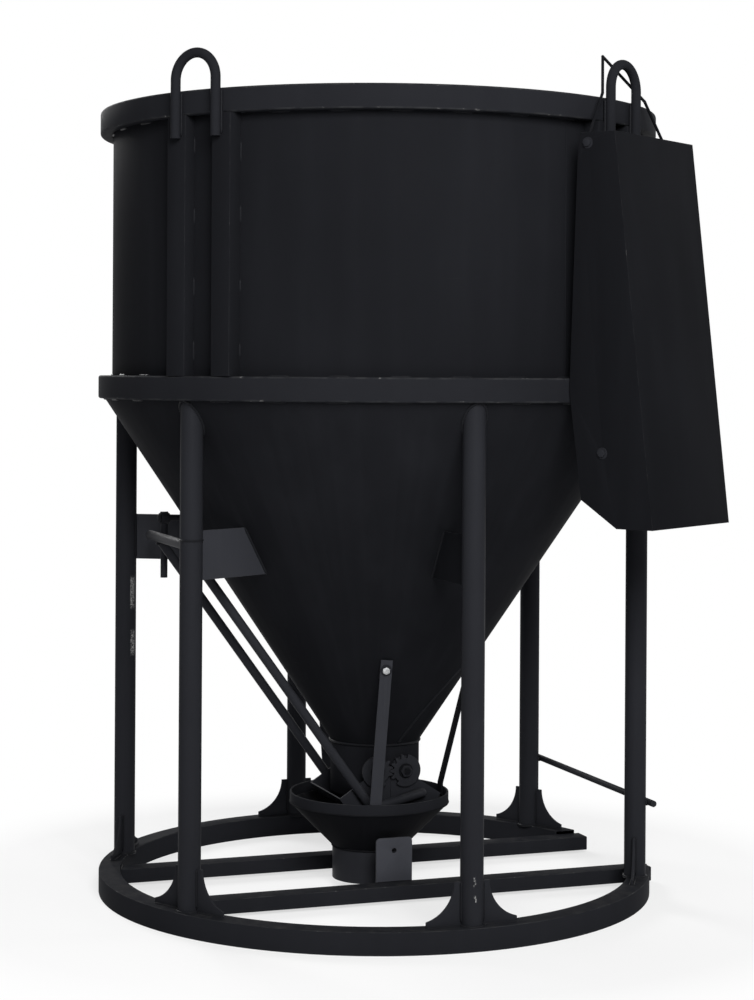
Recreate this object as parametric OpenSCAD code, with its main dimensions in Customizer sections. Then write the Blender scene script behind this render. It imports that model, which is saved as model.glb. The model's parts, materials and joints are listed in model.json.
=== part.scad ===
// Bell-shaped concrete bucket: round hopper with a cone and a twin-jaw gate, six legs on an open
// base ring, a funnel under the gate, and a lift-off chute that hangs on the side.
// Millimetres. The bucket axis is Z, the floor is z = 0 and +X is the open side of the base ring.

/* [Hopper] */
// Outside radius of the round shell
shell_radius = 750; // [700:1:800]
// Thickness of the shell, cone and throat plate
plate = 4; // [3:0.5:6]
// Height of the rim above the floor
rim_z = 2184; // [2050:1:2300]
// Height of the rim tube
rim_height = 64; // [50:1:80]
// Radial depth of the rim tube
rim_depth = 36; // [30:1:42]
// Height of the underside of the middle tube
band_z = 1384; // [1340:1:1430]
// Height of the middle tube
band_height = 64; // [50:1:80]
// Radial depth of the middle tube
band_depth = 38; // [32:1:44]
// Wall of the rolled tubes
tube_wall = 3; // [2:0.5:5]
// How far the top of the cone stands outside the shell
cone_lap = 20; // [15:1:28]
// Outside radius of the throat
throat_radius = 126; // [110:1:126]
// Height of the joint between cone and throat
throat_top = 417; // [405:1:430]
// Height of the lower edge of the throat
throat_low = 272; // [270:1:285]

/* [Lifting lugs] */
// Direction of the first lug
lug_turn = 34.5; // [30:0.5:38]
// Radius of the lug bar
lug_bar = 13; // [10:0.5:14]
// Half the distance between the legs of a lug
lug_half = 67; // [60:1:75]
// Height of the lugs above the rim
lug_rise = 105; // [95:1:140]
// Length of the lugs below the rim tube
lug_lap = 60; // [40:1:80]
// Half the distance between the two posts of a lug
post_half = 75; // [68:1:82]
// Width of a post
post_width = 60; // [50:1:64]

/* [Legs] */
// How far the middles of the legs stand inside the shell's radius
leg_inset = 10; // [5:1:25]
// Outside radius of a leg tube
leg_radius = 30; // [26:0.5:34]
// Wall of a leg tube
leg_wall = 4; // [3:0.5:6]
// Lower edge of the brace plates
brace_low = 915; // [880:1:940]
// Upper edge of the brace plates
brace_high = 1045; // [1010:1:1080]
// Thickness of brace plates and foot gussets
gusset = 6; // [4:0.5:10]
// Length of a foot gusset from the leg's middle
foot_length = 124; // [110:1:130]
// Height of a foot gusset
foot_height = 112; // [95:1:124]
// Length of the level top edge of a foot gusset from the leg's middle
foot_top = 48; // [42:1:60]
// Height of the outer edge of a foot gusset
foot_edge = 12; // [6:1:20]

/* [Base] */
// How far the base ring stands outside the shell's radius
ring_out = 30; // [20:1:40]
// Width of the ring's square tube
ring_width = 60; // [50:1:70]
// Height of the ring's square tube
ring_height = 60; // [50:1:70]
// Distance of the crossbars from the middle
bar_y = 216; // [206:1:226]
// Width of a crossbar
bar_width = 60; // [50:1:62]
// Height of a crossbar
bar_height = 40; // [30:1:46]
// How far the crossbars end inside the ring's radius on the open side
bar_short = 25; // [10:1:50]
// Height of the tie bar between two legs
tie_z = 264; // [240:1:290]
// Radius of the tie bar
tie_bar_radius = 9; // [7:0.5:12]

/* [Gate] */
// Half the distance between the two pivots
pivot_x = 41; // [38:0.5:44]
// Height of the pivots
pivot_z = 347; // [340:1:352]
// Radius of a pivot pin
pin_radius = 10; // [8:0.5:12]
// Running clearance of the pivots, radial
pin_clearance = 0.05; // [0.02:0.01:0.1]
// Outside radius of the jaws round their pivot
jaw_radius = 130; // [128:0.5:134]
// Thickness of the jaw's curved sheet
jaw_sheet = 4; // [3:0.5:5]
// Thickness of the jaw's side plates
jaw_plate = 6; // [5:0.5:8]
// Angle of the jaw's upper edge below level
jaw_edge = 33; // [28:1:38]
// Half of the gap between the closed jaws
jaw_gap = 0.4; // [0.3:0.1:1]
// Thickness of the toothed sectors
sector = 10; // [8:0.5:12]
// Teeth that a full sector wheel would have
teeth = 14; // [14:1:14]

/* [Lever] */
// Radius of the lever bar
lever_bar = 13; // [11:0.5:14]
// Distance of the hand bar from the cone
hand_gap = 92; // [80:1:100]
// Height of the hand bar
hand_z = 992; // [980:1:1000]
// Reach of the bend at the foot of the lever
bend_x = 59.5; // [55:0.5:64]
// Height of the bend at the foot of the lever
bend_z = 247; // [244:1:252]
// Reach of the lever's welded end on the jaw
end_x = 88; // [80:1:94]
// Height of the lever's welded end on the jaw
end_z = 283; // [278:1:286]
// Reach of the hand bar in front of the middle
hand_front = 165; // [162:1:180]
// Reach of the hand bar behind the middle
hand_back = 235; // [200:1:240]
// Radius of the latch hook's bar
hook_bar = 10; // [8:0.5:11]
// Gap between the hand bar and the latch hook
latch_gap = 9; // [7:0.5:12]
// Height of the latch peg above the hand bar
latch_rise = 50; // [45:1:60]
// Radius of the latch peg
latch_pin_radius = 9; // [8:0.5:10]
// Length of the latch hook
hook_length = 170; // [140:1:185]

/* [Funnel] */
// Shift of the funnel towards the lever side
funnel_shift = 16; // [8:1:20]
// Outside radius of the funnel rim
funnel_radius = 226; // [224:1:230]
// Upper edge of the funnel rim
funnel_top = 270; // [262:1:272]
// Height of the funnel rim
funnel_rim_height = 30; // [24:1:34]
// Outside radius of the spout
spout_radius = 104; // [98:1:110]
// Height of the joint between funnel and spout
spout_top = 117; // [108:1:124]
// Height of the spout's lower edge
spout_low = 25; // [18:1:32]
// Thickness of funnel plate
funnel_plate = 4; // [3:0.5:5]
// Shift of the chute tabs towards the lever side
tab_shift = 9; // [0:1:16]
// Width of a chute tab
tab_width = 106; // [95:1:112]
// Height of a chute tab above its crossbar
tab_height = 122; // [110:1:130]
// Radius of the upper corners of a chute tab
tab_round = 12; // [6:1:20]
// Depth of the hole below the top of a chute tab
tab_drop = 36; // [28:1:44]
// Radius of the hole in a chute tab
tab_hole = 7; // [6:0.5:9]
// Width of the straps
strap_width = 32; // [26:1:40]
// Thickness of the straps
strap_plate = 5; // [4:0.5:6]
// Upper end of the straps
strap_top = 680; // [660:1:690]
// Sideways tilt of the front and rear straps, in degrees
strap_tilt = 3; // [0:0.5:4]
// Height of the welded block behind a strap's upper end
bracket_height = 55; // [50:1:62]
// Depth of the strap bolts below the straps' upper ends
bolt_drop = 27; // [24:1:30]
// Radius of the strap bolts
strap_bolt = 6; // [5:0.5:7]

/* [Chute] */
// Half the width of the chute
chute_half = 210; // [206:1:220]
// Thickness of the chute plate
chute_plate = 4; // [3:0.5:5]
// How far the chute floor stands outside the shell at its top
chute_out_top = 143; // [135:1:155]
// How far the chute floor stands outside the shell at its lower end
chute_out_low = 258; // [244:1:268]
// Depth of the upper end of the chute below the rim
chute_drop = 106; // [96:1:118]
// Length of the chute
chute_length = 1012; // [980:1:1040]
// Radius of the chute bolts
chute_bolt = 6; // [5:0.5:7]
// Depth of the bail's pivot bolts below the chute's top
bail_drop = 27; // [22:1:32]
// How far the bail's pivot bolts stand outside the rim tube
bail_out = 28; // [26:1:34]
// Radius of the bail rod
bail_rod = 4; // [3:0.5:5]

/* [Hidden] */
$fn = 96;
cone_top = shell_radius + cone_lap;
cone_slope = (cone_top - throat_radius) / (band_z - throat_top);
plate_level = plate * sqrt(1 + cone_slope * cone_slope);
rim_low = rim_z - rim_height;
band_top = band_z + band_height;
rim_radius = shell_radius + rim_depth;
lug_n = rim_radius + lug_bar;
lug_top = rim_z + lug_rise;
lug_foot = rim_low - lug_lap;
ring_radius = shell_radius + ring_out;
leg_circle = shell_radius - leg_inset;
bar_reach = ring_radius - bar_short;
crown_z = lug_top - lug_bar - lug_half;
ring_inner = ring_radius - ring_width;
bar_low = (ring_height - bar_height) / 2;
leg_turn = 30;
tie_x = leg_circle * cos(leg_turn) + leg_radius + tie_bar_radius;
tie_y = leg_circle * sin(leg_turn);
boss_y = throat_radius + 1.5;
side_y = boss_y + 0.5;
sector_y = side_y + jaw_plate;
pin_end = sector_y + sector + 12;
boss_radius = pin_radius + 12;
hub_radius = pivot_x - 1;
bore = pin_radius + pin_clearance;
pitch_radius = pivot_x;
module_mm = 2 * pitch_radius / teeth;
tooth_tip = pitch_radius + 0.8 * module_mm;
tooth_root = pitch_radius - 1.1 * module_mm;
lever_y = sector_y + lever_bar + 1;
hand_x = cone_r(hand_z) + hand_gap;
latch_z = hand_z + latch_rise;
hook_low = latch_z - hook_length;
hook_x = hand_x - lever_bar - latch_gap - hook_bar;
latch_y = (lever_y + lever_bar + hand_back) / 2 + latch_gap * 2 / 3;
latch_eye = latch_pin_radius + 9;
funnel_rim_low = funnel_top - funnel_rim_height;
funnel_slope = (funnel_radius - spout_radius) / (funnel_rim_low - spout_top);
funnel_level = funnel_plate * sqrt(1 + funnel_slope * funnel_slope);
funnel_inner = funnel_radius - funnel_level;
strap_foot = sqrt(pow(funnel_inner, 2) - pow(strap_width / 2, 2)) - strap_plate;
strap_low = funnel_rim_low + 5;
strap_bend = funnel_top + 10;
tab_y = bar_y - bar_width / 2;
bracket_low = strap_top - bracket_height;
front_turn = 255;
rear_turn = 105;
side_turn = 0;
chute_turn = lug_turn + 270;
chute_floor_top = shell_radius + chute_out_top;
chute_floor_low = shell_radius + chute_out_low;
chute_top = rim_z - chute_drop;
chute_low = chute_top - chute_length;
bail_z = chute_top - bail_drop;
bail_n = rim_radius + bail_out;
bail_knee_t = lug_half + 45;
wall_low_n = sqrt(pow(shell_radius + band_depth + 4, 2) - pow(chute_half, 2));
eye_t = chute_half - chute_plate - 5;
bail_tip = [lug_n - 64, 0, lug_top + 14];
lower_bolt_n = chute_floor_low - 146;
lower_bolt_z = chute_low + 191;

// Outside radius of the hopper cone at a height
function cone_r(z) = throat_radius + (z - throat_top) * cone_slope;
// Distance of the hopper cone from the funnel's axis, in a direction and at a height
function reach(turn, z) = funnel_shift * cos(turn)
    + sqrt(pow(cone_r(z), 2) - pow(funnel_shift * sin(turn), 2));
// Distance of a strap's inner face from the funnel's axis
function strap_r(turn, z) = strap_foot + (reach(turn, strap_top) + 3 - strap_foot)
    * (z - strap_bend) / (strap_top - strap_bend);
// Lean of a strap from the upright
function strap_lean(turn) = atan((reach(turn, strap_top) + 3 - strap_foot) / (strap_top - strap_bend));

// Bend of the bail beside the lug, on one side
function bail_knee(s) = [lug_n + 1, s * bail_knee_t, rim_z + 6];
// Start of the bail rod on its eye
function bail_foot(s) = [bail_n, s * eye_t, bail_z + chute_bolt + 3.5];
// First bend of the bail, clear of the nut
function bail_rise(s) = [bail_n, s * eye_t, bail_z + chute_bolt * 1.8 + 14];

// The piece to draw, or all of them

// Solid bounded by the outside of the hopper cone
module cone_solid() {
    translate([0, 0, throat_top])
        cylinder(h = band_z - throat_top, r1 = throat_radius, r2 = cone_top);
}

// Plate in the XZ plane, from a flat outline of x and z, between two values of y
module slab(y0, y1) {
    translate([0, y1, 0])
        rotate([90, 0, 0])
            linear_extrude(height = y1 - y0)
                children();
}

// Straight round bar between two points
module bar(a, b, r) {
    d = b - a;
    run = norm([d[0], d[1]]);
    translate(a)
        rotate([0, atan2(run, d[2]), run > 0 ? atan2(d[1], d[0]) : 0])
            cylinder(h = norm(d), r = r);
}

// Hollow rolled tube of rectangular section round the axis
module hoop(r_in, depth, z, height, wall) {
    rotate_extrude()
        difference() {
            translate([r_in, z])
                square([depth, height]);
            translate([r_in + wall, z + wall])
                square([depth - 2 * wall, height - 2 * wall]);
        }
}

// Open round shell of the hopper
module hopper_cylinder() {
    color("#1b1c1f")
        rotate_extrude()
            translate([shell_radius - plate, band_z])
                square([plate, rim_z - band_z]);
}

// Cone from the middle tube down to the throat
module hopper_cone() {
    color("#1b1c1f")
        rotate_extrude()
            polygon([
                [throat_radius - plate_level, throat_top],
                [throat_radius, throat_top],
                [cone_top, band_z],
                [cone_top - plate_level, band_z]
            ]);
}

// Tube round the rim
module rim_band() {
    color("#1b1c1f")
        hoop(shell_radius, rim_depth, rim_low, rim_height, tube_wall);
}

// Tube round the joint of shell and cone
module mid_band() {
    color("#1b1c1f")
        hoop(shell_radius, band_depth, band_z, band_height, tube_wall);
}

// Short pipe that the jaws close
module throat_pipe() {
    color("#1b1c1f")
        translate([0, 0, throat_low])
            difference() {
                cylinder(h = throat_top - throat_low, r = throat_radius);
                translate([0, 0, -1])
                    cylinder(h = throat_top - throat_low + 2, r = throat_radius - plate);
            }
}

// Bent bar of one lug with its welds, k quarter turns round the rim
module lug(k) {
    color("#1b1c1f")
        rotate(lug_turn + 90 * k) {
            translate([lug_n, 0, crown_z])
                rotate([90, 0, 90])
                    rotate_extrude(angle = 180)
                        translate([lug_half, 0])
                            circle(r = lug_bar);
            for (s = [-1, 1]) {
                translate([lug_n, s * lug_half, lug_foot])
                    cylinder(h = crown_z - lug_foot, r = lug_bar);
                translate([rim_radius, s * lug_half - 8, lug_foot + 2])
                    cube([lug_bar, 16, rim_low - lug_foot - 4]);
                difference() {
                    translate([rim_radius - 20, s * lug_half - 8, rim_low + 2])
                        cube([lug_bar + 20, 16, rim_height - 4]);
                    translate([0, 0, rim_low])
                        cylinder(h = rim_height, r = rim_radius);
                }
            }
        }
}

// Pair of channels under one lug, from the middle tube to the rim tube
module lug_posts(k) {
    color("#1b1c1f")
        rotate(lug_turn + 90 * k)
            for (s = [-1, 1])
                difference() {
                    translate([shell_radius - 20, s * post_half - post_width / 2, band_top])
                        cube([rim_depth + 20, post_width, rim_low - band_top]);
                    translate([shell_radius - 30, s * post_half - post_width / 2 + tube_wall, band_top - 1])
                        cube([rim_depth + 30 - tube_wall, post_width - 2 * tube_wall, rim_low - band_top + 2]);
                    translate([0, 0, band_top - 1])
                        cylinder(h = rim_low - band_top + 2, r = shell_radius);
                }
}

// Half outline of a foot gusset: straight on the leg and the ring, hollow on the outside
module foot_outline() {
    difference() {
        square([foot_length, foot_height]);
        translate([foot_top + foot_height - foot_edge, foot_height])
            circle(r = foot_height - foot_edge);
    }
}

// Leg tube with its two foot gussets, k sixths of a turn round the bucket
module leg(k) {
    color("#1b1c1f")
        rotate(leg_turn + 60 * k)
            difference() {
                union() {
                    translate([leg_circle, 0, ring_height])
                        cylinder(h = band_z - ring_height, r = leg_radius);
                    for (s = [0, 1])
                        translate([leg_circle, 0, ring_height])
                            mirror([0, s, 0])
                                rotate([0, 0, 90])
                                    slab(-gusset / 2, gusset / 2)
                                        foot_outline();
                }
                translate([leg_circle, 0, ring_height - 1])
                    cylinder(h = band_z, r = leg_radius - leg_wall);
                cone_solid();
            }
}

// Plate between a leg and the cone
module leg_brace(k) {
    color("#1b1c1f")
        rotate(leg_turn + 60 * k)
            difference() {
                slab(-gusset / 2, gusset / 2)
                    polygon([
                        [cone_r(brace_low) - 20, brace_low],
                        [leg_circle, brace_low],
                        [leg_circle, brace_high],
                        [cone_r(brace_high) - 20, brace_high]
                    ]);
                translate([leg_circle, 0, brace_low - 1])
                    cylinder(h = brace_high - brace_low + 2, r = leg_radius);
                cone_solid();
            }
}

// Base ring of square tube, open on the +X side between the crossbars
module base_ring() {
    color("#1b1c1f")
        difference() {
            hoop(ring_inner, ring_width, 0, ring_height, leg_wall);
            translate([0, -bar_y - bar_width / 2, -1])
                cube([ring_radius + 1, 2 * bar_y + bar_width, ring_height + 2]);
        }
}

// Rectangular tube across the base, at one side of the middle
module crossbar(s) {
    color("#1b1c1f")
        difference() {
            translate([-ring_inner, s * bar_y - bar_width / 2, bar_low])
                cube([ring_inner + bar_reach, bar_width, bar_height]);
            translate([-ring_inner - 1, s * bar_y - bar_width / 2 + leg_wall, bar_low + leg_wall])
                cube([ring_inner + bar_reach + 2, bar_width - 2 * leg_wall, bar_height - 2 * leg_wall]);
            difference() {
                translate([-ring_radius - 1, -ring_radius, -1])
                    cube([ring_radius + 1, 2 * ring_radius, ring_height + 2]);
                translate([0, 0, -2])
                    cylinder(h = ring_height + 4, r = ring_inner);
            }
        }
}

// Round bar welded across the outside of two legs
module tie_bar() {
    color("#1b1c1f") {
        bar([tie_x, -tie_y - leg_radius - 8, tie_z], [tie_x, tie_y + leg_radius + 8, tie_z], tie_bar_radius);
        for (s = [-1, 1])
            difference() {
                translate([tie_x - tie_bar_radius - 8, s * tie_y - 12, tie_z - 6])
                    cube([tie_bar_radius + 8, 24, 12]);
                translate([tie_x - tie_bar_radius - leg_radius, s * tie_y, tie_z - 7])
                    cylinder(h = 14, r = leg_radius);
            }
    }
}

// Upright band of the funnel
module funnel_rim() {
    color("#1b1c1f")
        translate([-funnel_shift, 0, 0])
            rotate_extrude()
                translate([funnel_radius - funnel_level, funnel_rim_low])
                    square([funnel_level, funnel_rim_height]);
}

// Cone of the funnel
module funnel_cone() {
    color("#1b1c1f")
        translate([-funnel_shift, 0, 0])
            rotate_extrude()
                polygon([
                    [spout_radius - funnel_level, spout_top],
                    [spout_radius, spout_top],
                    [funnel_radius, funnel_rim_low],
                    [funnel_radius - funnel_level, funnel_rim_low]
                ]);
}

// Outlet pipe below the funnel
module spout() {
    color("#1b1c1f")
        translate([-funnel_shift, 0, 0])
            rotate_extrude()
                translate([spout_radius - funnel_level, spout_low])
                    square([funnel_level, spout_top - spout_low]);
}

// Tab with a bolt hole, on the inner edge of the crossbar at one side of the middle
module tab(s) {
    color("#1b1c1f")
        mirror([0, s < 0 ? 1 : 0, 0])
            slab(tab_y, tab_y + gusset)
                translate([-tab_shift, bar_low + bar_height])
                    difference() {
                        union() {
                            translate([-tab_width / 2, 0])
                                square([tab_width, tab_height - tab_round]);
                            translate([tab_round - tab_width / 2, 0])
                                square([tab_width - 2 * tab_round, tab_height]);
                            for (e = [-1, 1])
                                translate([e * (tab_width / 2 - tab_round), tab_height - tab_round])
                                    circle(r = tab_round);
                        }
                        translate([0, tab_height - tab_drop])
                            circle(r = tab_hole);
                    }
}

// Tilts a strap and what holds it sideways, about the foot of the strap
module tilted(turn) {
    translate([0, 0, strap_low])
        rotate([sign(round(100 * sin(turn))) * strap_tilt, 0, 0])
            translate([0, 0, -strap_low])
                children();
}

// Flat strap from a bracket on the cone down to the inside of the funnel rim
module strap(turn) {
    color("#1b1c1f")
        translate([-funnel_shift, 0, 0])
            rotate(turn)
                difference() {
                    tilted(turn)
                        slab(-strap_width / 2, strap_width / 2)
                            polygon([
                                [strap_foot, strap_low],
                                [funnel_inner + 1, strap_low],
                                [funnel_inner + 1, funnel_top],
                                [strap_foot + strap_plate, funnel_top],
                                [strap_foot + strap_plate, strap_bend],
                                [strap_r(turn, strap_top) + strap_plate, strap_top],
                                [strap_r(turn, strap_top), strap_top],
                                [strap_foot, strap_bend]
                            ]);
                    difference() {
                        translate([0, 0, strap_low - 1])
                            cylinder(h = funnel_top - strap_low + 1, r = funnel_radius);
                        translate([0, 0, strap_low - 2])
                            cylinder(h = funnel_top - strap_low + 3, r = funnel_inner);
                    }
                    tilted(turn)
                        strap_bore(turn, strap_bolt);
                }
}

// Line of a strap bolt, square to the strap
module strap_bore(turn, r) {
    translate([strap_r(turn, strap_top - bolt_drop), 0, strap_top - bolt_drop])
        rotate([0, 90 + strap_lean(turn), 0])
            translate([0, 0, -9])
                cylinder(h = 40, r = r);
}

// Welded block that carries the upper end of a strap
module strap_bracket(turn) {
    color("#1b1c1f")
        difference() {
            translate([-funnel_shift, 0, 0])
                rotate(turn)
                    tilted(turn) difference() {
                        slab(-strap_width / 2, strap_width / 2)
                            polygon([
                                [reach(turn, bracket_low) - 12, bracket_low],
                                [strap_r(turn, bracket_low), bracket_low],
                                [strap_r(turn, strap_top - 3), strap_top - 3],
                                [reach(turn, bracket_low) - 12, strap_top - 3]
                            ]);
                        strap_bore(turn, strap_bolt);
                    }
            cone_solid();
        }
}

// Hexagon bolts of the three straps
module strap_bolts() {
    color("#b9bcc0")
        for (turn = [side_turn, rear_turn, front_turn])
            translate([-funnel_shift, 0, 0])
                rotate(turn)
                    tilted(turn) translate([strap_r(turn, strap_top - bolt_drop), 0, strap_top - bolt_drop])
                        rotate([0, 90 + strap_lean(turn), 0]) {
                            translate([0, 0, -8])
                                cylinder(h = 10 + strap_plate * cos(strap_lean(turn)), r = strap_bolt);
                            translate([0, 0, strap_plate * cos(strap_lean(turn))])
                                cylinder(h = 8, r = strap_bolt * 1.8, $fn = 6);
                        }
}

// Pivot pins with their welded bosses, two in front of the throat and two behind it
module gate_pins() {
    color("#9a9da1")
        for (s = [-1, 1], f = [0, 1])
            mirror([0, f, 0])
                union() {
                    difference() {
                        translate([s * pivot_x, boss_y, pivot_z])
                            rotate([90, 0, 0])
                                cylinder(h = boss_y - throat_radius * 0.8, r = boss_radius);
                        translate([0, 0, throat_low])
                            cylinder(h = throat_top - throat_low, r = throat_radius);
                    }
                    translate([s * pivot_x, pin_end + 3, pivot_z])
                        rotate([90, 0, 0])
                            cylinder(h = pin_end + 3 - boss_y, r = pin_radius);
                }
}

// Nuts on the pivot pins
module gate_nuts() {
    color("#b9bcc0")
        for (s = [-1, 1], f = [0, 1])
            mirror([0, f, 0])
                translate([s * pivot_x, pin_end, pivot_z])
                    rotate([90, 0, 0])
                        difference() {
                            cylinder(h = pin_end - sector_y - sector - 0.5, r = pin_radius * 1.7, $fn = 6);
                            translate([0, 0, -1])
                                cylinder(h = 20, r = pin_radius);
                        }
}

// Flat area that a jaw may fill: from its closing edge to its upper edge
module jaw_area() {
    polygon([
        [jaw_gap - pivot_x, 0],
        [0, 0],
        [2 * jaw_radius * cos(jaw_edge), -2 * jaw_radius * sin(jaw_edge)],
        [2 * jaw_radius, -3 * jaw_radius],
        [jaw_gap - pivot_x, -3 * jaw_radius]
    ]);
}

// One jaw round its own pivot: curved sheet between two side plates
module jaw() {
    slab(-side_y, side_y)
        intersection() {
            difference() {
                circle(r = jaw_radius);
                circle(r = jaw_radius - jaw_sheet);
            }
            jaw_area();
        }
    for (f = [0, 1])
        mirror([0, f, 0])
            slab(side_y, sector_y)
                difference() {
                    union() {
                        intersection() {
                            circle(r = jaw_radius);
                            jaw_area();
                        }
                        circle(r = hub_radius);
                    }
                    circle(r = bore);
                }
}

// Jaw on the +X side
module right_jaw() {
    color("#1b1c1f")
        translate([pivot_x, 0, pivot_z])
            jaw();
}

// Jaw on the lever side
module left_jaw() {
    color("#1b1c1f")
        translate([-pivot_x, 0, pivot_z])
            mirror([1, 0, 0])
                jaw();
}

// Tooth outline along +x
module tooth() {
    half = 0.21 * 2 * 180 / teeth;
    polygon([
        [tooth_root - 2, -pitch_radius * sin(half) - 2.2],
        [pitch_radius, -pitch_radius * sin(half)],
        [tooth_tip, -pitch_radius * sin(half) + 1.9],
        [tooth_tip, pitch_radius * sin(half) - 1.9],
        [pitch_radius, pitch_radius * sin(half)],
        [tooth_root - 2, pitch_radius * sin(half) + 2.2]
    ]);
}

// Toothed sector: smooth disc with teeth on the side of the other sector
module sector_wheel(first, count) {
    difference() {
        union() {
            circle(r = tooth_root);
            for (k = [0 : count - 1])
                rotate((first + k) * 360 / teeth)
                    tooth();
            difference() {
                circle(r = tooth_tip - 1);
                polygon([
                    [0, 0],
                    [4 * tooth_tip * cos(-55), 4 * tooth_tip * sin(-55)],
                    [6 * tooth_tip, 0],
                    [4 * tooth_tip * cos(100), 4 * tooth_tip * sin(100)]
                ]);
            }
        }
        circle(r = bore);
    }
}

// Sector on the +X pivot; f = 0 at the back, 1 at the front
module right_sector(f) {
    color("#1b1c1f")
        mirror([0, f, 0])
            translate([pivot_x, 0, pivot_z])
                mirror([1, 0, 0])
                    slab(sector_y, sector_y + sector)
                        sector_wheel(-1, 5);
}

// Sector on the lever-side pivot
module left_sector(f) {
    color("#1b1c1f")
        mirror([0, f, 0])
            translate([-pivot_x, 0, pivot_z])
                slab(sector_y, sector_y + sector)
                    sector_wheel(-0.5, 4);
}

// Lever: two bent bars welded to the +X jaw and joined by the hand bar
module lever() {
    color("#1b1c1f") {
        bar([-hand_x, -hand_front, hand_z], [-hand_x, hand_back, hand_z], lever_bar + 0.5);
        for (s = [-1, 1]) {
            bar([-hand_x, s * lever_y, hand_z], [-bend_x, s * lever_y, bend_z], lever_bar);
            bar([-bend_x, s * lever_y, bend_z], [end_x, s * lever_y, end_z], lever_bar);
            translate([-bend_x, s * lever_y, bend_z])
                sphere(r = lever_bar + 0.3);
            translate([end_x, s * lever_y, end_z])
                sphere(r = lever_bar + 0.3);
            mirror([0, s < 0 ? 1 : 0, 0])
                slab(sector_y, lever_y)
                    translate([end_x, end_z])
                        rotate(atan2(end_z - bend_z, end_x + bend_x))
                            translate([-70, -6])
                                square([74, 12]);
        }
    }
}

// Peg on the cone that carries the latch hook, with two collars
module latch_peg() {
    color("#1b1c1f") {
        difference() {
            translate([-hook_x - hook_bar - 9, latch_y, latch_z])
                rotate([0, 90, 0])
                    cylinder(h = hook_x, r = latch_pin_radius);
            cone_solid();
            translate([-hook_x + 80, latch_y - 50, latch_z - 50])
                cube([hook_x, 100, 100]);
        }
        for (x = [-hook_x - hook_bar - 5, -hook_x + hook_bar + 1])
            translate([x, latch_y, latch_z])
                rotate([0, 90, 0])
                    cylinder(h = 4, r = latch_pin_radius + 5);
    }
}

// Hook that hangs on the peg beside the hand bar's end
module latch_hook() {
    color("#1b1c1f")
        difference() {
            union() {
                translate([-hook_x - hook_bar, latch_y, latch_z])
                    rotate([0, 90, 0])
                        cylinder(h = 2 * hook_bar, r = latch_eye);
                bar([-hook_x, latch_y, hook_low], [-hook_x, latch_y, latch_z - latch_pin_radius - 3], hook_bar);
            }
            translate([-hook_x - hook_bar - 1, latch_y, latch_z])
                rotate([0, 90, 0])
                    cylinder(h = 2 * hook_bar + 2, r = latch_pin_radius + pin_clearance);
        }
}

// Side wall outline of the chute, in distance from the axis and height
module chute_outline() {
    polygon([
        [chute_floor_top, chute_top],
        [shell_radius + 40, chute_top],
        [shell_radius + 34, chute_top - 73],
        [wall_low_n, (band_z + band_top) / 2],
        [shell_radius + 50, chute_low + 70],
        [chute_floor_low - 104, chute_low],
        [chute_floor_low, chute_low]
    ]);
}

// Folded trough: floor away from the bucket and two side walls towards it
module chute_trough() {
    color("#1b1c1f")
        rotate(chute_turn)
            difference() {
                union() {
                    for (s = [0, 1])
                        mirror([0, s, 0])
                            slab(chute_half - chute_plate, chute_half)
                                chute_outline();
                    slab(-chute_half, chute_half)
                        polygon([
                            [chute_floor_top - chute_plate, chute_top],
                            [chute_floor_top, chute_top],
                            [chute_floor_low, chute_low],
                            [chute_floor_low - chute_plate, chute_low]
                        ]);
                }
                for (q = [[bail_n, bail_z], [lower_bolt_n, lower_bolt_z]])
                    translate([q[0], chute_half + 1, q[1]])
                        rotate([90, 0, 0])
                            cylinder(h = 2 * chute_half + 2, r = chute_bolt);
            }
}

// Four bolts of the chute, heads outside
module chute_bolts() {
    color("#b9bcc0")
        rotate(chute_turn)
            for (s = [0, 1], q = [[bail_n, bail_z, 30], [lower_bolt_n, lower_bolt_z, 24]])
                mirror([0, s, 0]) {
                    translate([q[0], chute_half, q[1]])
                        rotate([90, 0, 0])
                            cylinder(h = q[2], r = chute_bolt);
                    translate([q[0], chute_half + 8, q[1]])
                        rotate([90, 0, 0])
                            cylinder(h = 8, r = chute_bolt * 1.8, $fn = 6);
                }
}

// Nuts of the chute bolts
module chute_nuts() {
    color("#b9bcc0")
        rotate(chute_turn)
            for (s = [0, 1], q = [[bail_n, bail_z, 14.5], [lower_bolt_n, lower_bolt_z, 4]])
                mirror([0, s, 0])
                    translate([q[0], chute_half - q[2], q[1]])
                        rotate([90, 0, 0])
                            difference() {
                                cylinder(h = 9, r = chute_bolt * 1.8, $fn = 6);
                                translate([0, 0, -1])
                                    cylinder(h = 11, r = chute_bolt);
                            }
}

// Wire bail of the chute, looped over a lug from outside
module chute_bail() {
    color("#1b1c1f")
        rotate(chute_turn)
            difference() {
                union() {
                    for (s = [-1, 1]) {
                        translate([bail_n, s * eye_t + 4, bail_z])
                            rotate([90, 0, 0])
                                cylinder(h = 8, r = chute_bolt + 7);
                        bar(bail_foot(s), bail_rise(s), bail_rod);
                        translate(bail_rise(s))
                            sphere(r = bail_rod + 0.3);
                        bar(bail_rise(s), bail_knee(s), bail_rod);
                        translate(bail_knee(s))
                            sphere(r = bail_rod + 0.3);
                        bar(bail_knee(s), bail_tip, bail_rod);
                    }
                    translate(bail_tip)
                        sphere(r = bail_rod + 0.3);
                }
                for (s = [-1, 1])
                    translate([bail_n, s * eye_t + 10, bail_z])
                        rotate([90, 0, 0])
                            cylinder(h = 20, r = chute_bolt + pin_clearance);
            }
}

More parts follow.
